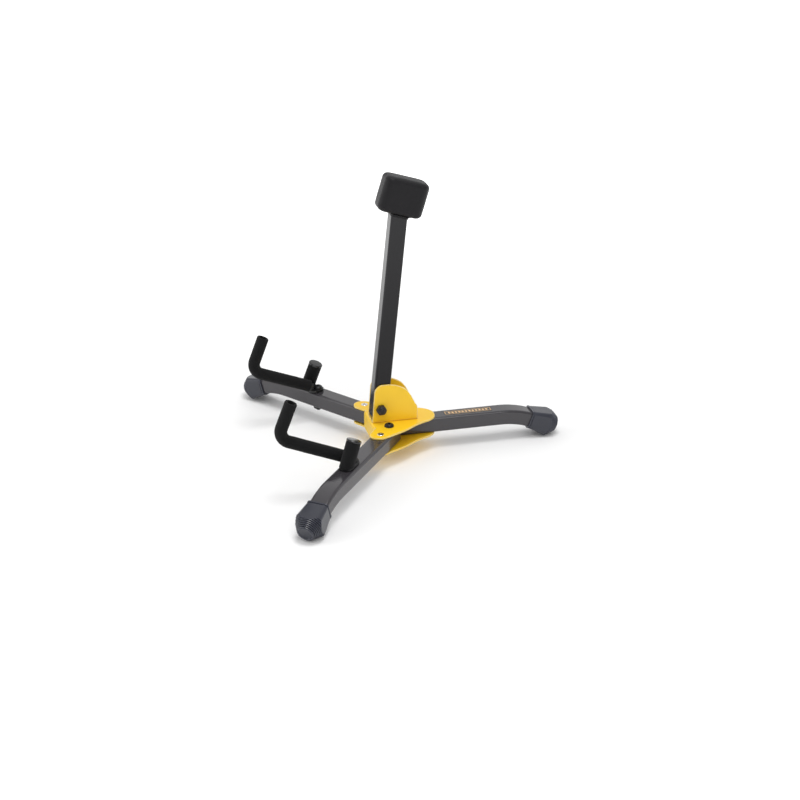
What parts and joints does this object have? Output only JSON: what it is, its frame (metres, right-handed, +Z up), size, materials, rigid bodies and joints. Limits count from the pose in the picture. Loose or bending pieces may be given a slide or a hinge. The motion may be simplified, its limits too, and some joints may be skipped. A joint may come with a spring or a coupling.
{
  "type": "folding saxophone stand",
  "caption": "Low folding stand that holds a saxophone: a hub with folding legs on rubber feet, foam-covered rests that cradle the bell, and a folding backrest post with a pad.",
  "frame": {"origin": "middle of the bounding box in plan, on the floor the feet stand on", "axes": "+X along the fixed rear leg, away from the backrest side, +Y towards the left support arm, +Z up"},
  "size_m": [0.333, 0.3784, 0.3092],
  "materials": {
    "yellow_steel": "gloss yellow powder coat",
    "black_tube": "satin black powder coat",
    "black_steel": "black oxide",
    "zinc_steel": "bright zinc",
    "rubber": "moulded, slightly glossy",
    "sleeve_foam": "matt closed-cell foam",
    "pad_foam": "matt dense foam with a skin",
    "nylon": "moulded nylon",
    "moulded_plastic": "moulded plastic",
    "label": "printed film, plain pattern"
  },
  "bodies": {
    "hub": {"hub_shell": "yellow_steel", "post_bracket": "yellow_steel", "rear_leg_tube": "black_tube", "rear_foot": "rubber", "hub_rivets": "zinc_steel", "detent_eyelets": "zinc_steel", "label_strip": "label", "leg_pivot_bolts": "black_steel", "leg_pivot_nuts": "black_steel", "post_pivot_bolt": "black_steel", "post_pivot_nut": "black_steel", "post_pivot_washers": "nylon"},
    "left_leg": {"left_leg_tube": "black_tube", "left_foot": "rubber", "left_pivot_bush": "nylon", "left_detent_ball": "zinc_steel", "left_detent_spring": "zinc_steel", "left_detent_cup": "nylon", "left_arm_bolt": "black_steel", "left_arm_washers": "black_steel", "left_arm_nut": "black_steel"},
    "left_arm": {"left_arm_plate": "black_steel", "left_arm_rod": "black_steel", "left_arm_foam": "sleeve_foam", "left_peg_rod": "black_steel", "left_peg_foam": "sleeve_foam", "left_peg_cap": "moulded_plastic"},
    "right_leg": {"right_leg_tube": "black_tube", "right_foot": "rubber", "right_pivot_bush": "nylon", "right_detent_ball": "zinc_steel", "right_detent_spring": "zinc_steel", "right_detent_cup": "nylon", "right_arm_bolt": "black_steel", "right_arm_washers": "black_steel", "right_arm_nut": "black_steel"},
    "right_arm": {"right_arm_plate": "black_steel", "right_arm_rod": "black_steel", "right_arm_foam": "sleeve_foam", "right_peg_rod": "black_steel", "right_peg_foam": "sleeve_foam", "right_peg_cap": "moulded_plastic"},
    "post": {"post_tube": "black_tube", "post_bush": "nylon", "post_detent_ball": "zinc_steel", "post_detent_spring": "zinc_steel", "post_detent_cup": "nylon", "post_end_plug": "moulded_plastic", "pad": "pad_foam"}
  },
  "joints": [
    {"name": "left_leg_fold", "type": "hinge", "parent": "hub", "child": "left_leg", "pos_m": [-0.03215, 0.02179, 0.00003], "axis": [0, 0, -1], "range_deg": [0, 123]},
    {"name": "left_arm_swivel", "type": "hinge", "parent": "left_leg", "child": "left_arm", "pos_m": [-0.08727, 0.09495, 0.038], "axis": [0, 0, -1], "range_deg": [-30, 55]},
    {"name": "right_leg_fold", "type": "hinge", "parent": "hub", "child": "right_leg", "pos_m": [-0.03215, -0.02179, 0.00003], "axis": [0, 0, 1], "range_deg": [0, 123]},
    {"name": "right_arm_swivel", "type": "hinge", "parent": "right_leg", "child": "right_arm", "pos_m": [-0.08727, -0.09495, 0.038], "axis": [0, 0, 1], "range_deg": [-30, 55]},
    {"name": "post_fold", "type": "hinge", "parent": "hub", "child": "post", "pos_m": [-0.03832, 0, 0.0536], "axis": [0, 1, 0], "range_deg": [0, 84]}
  ]
}
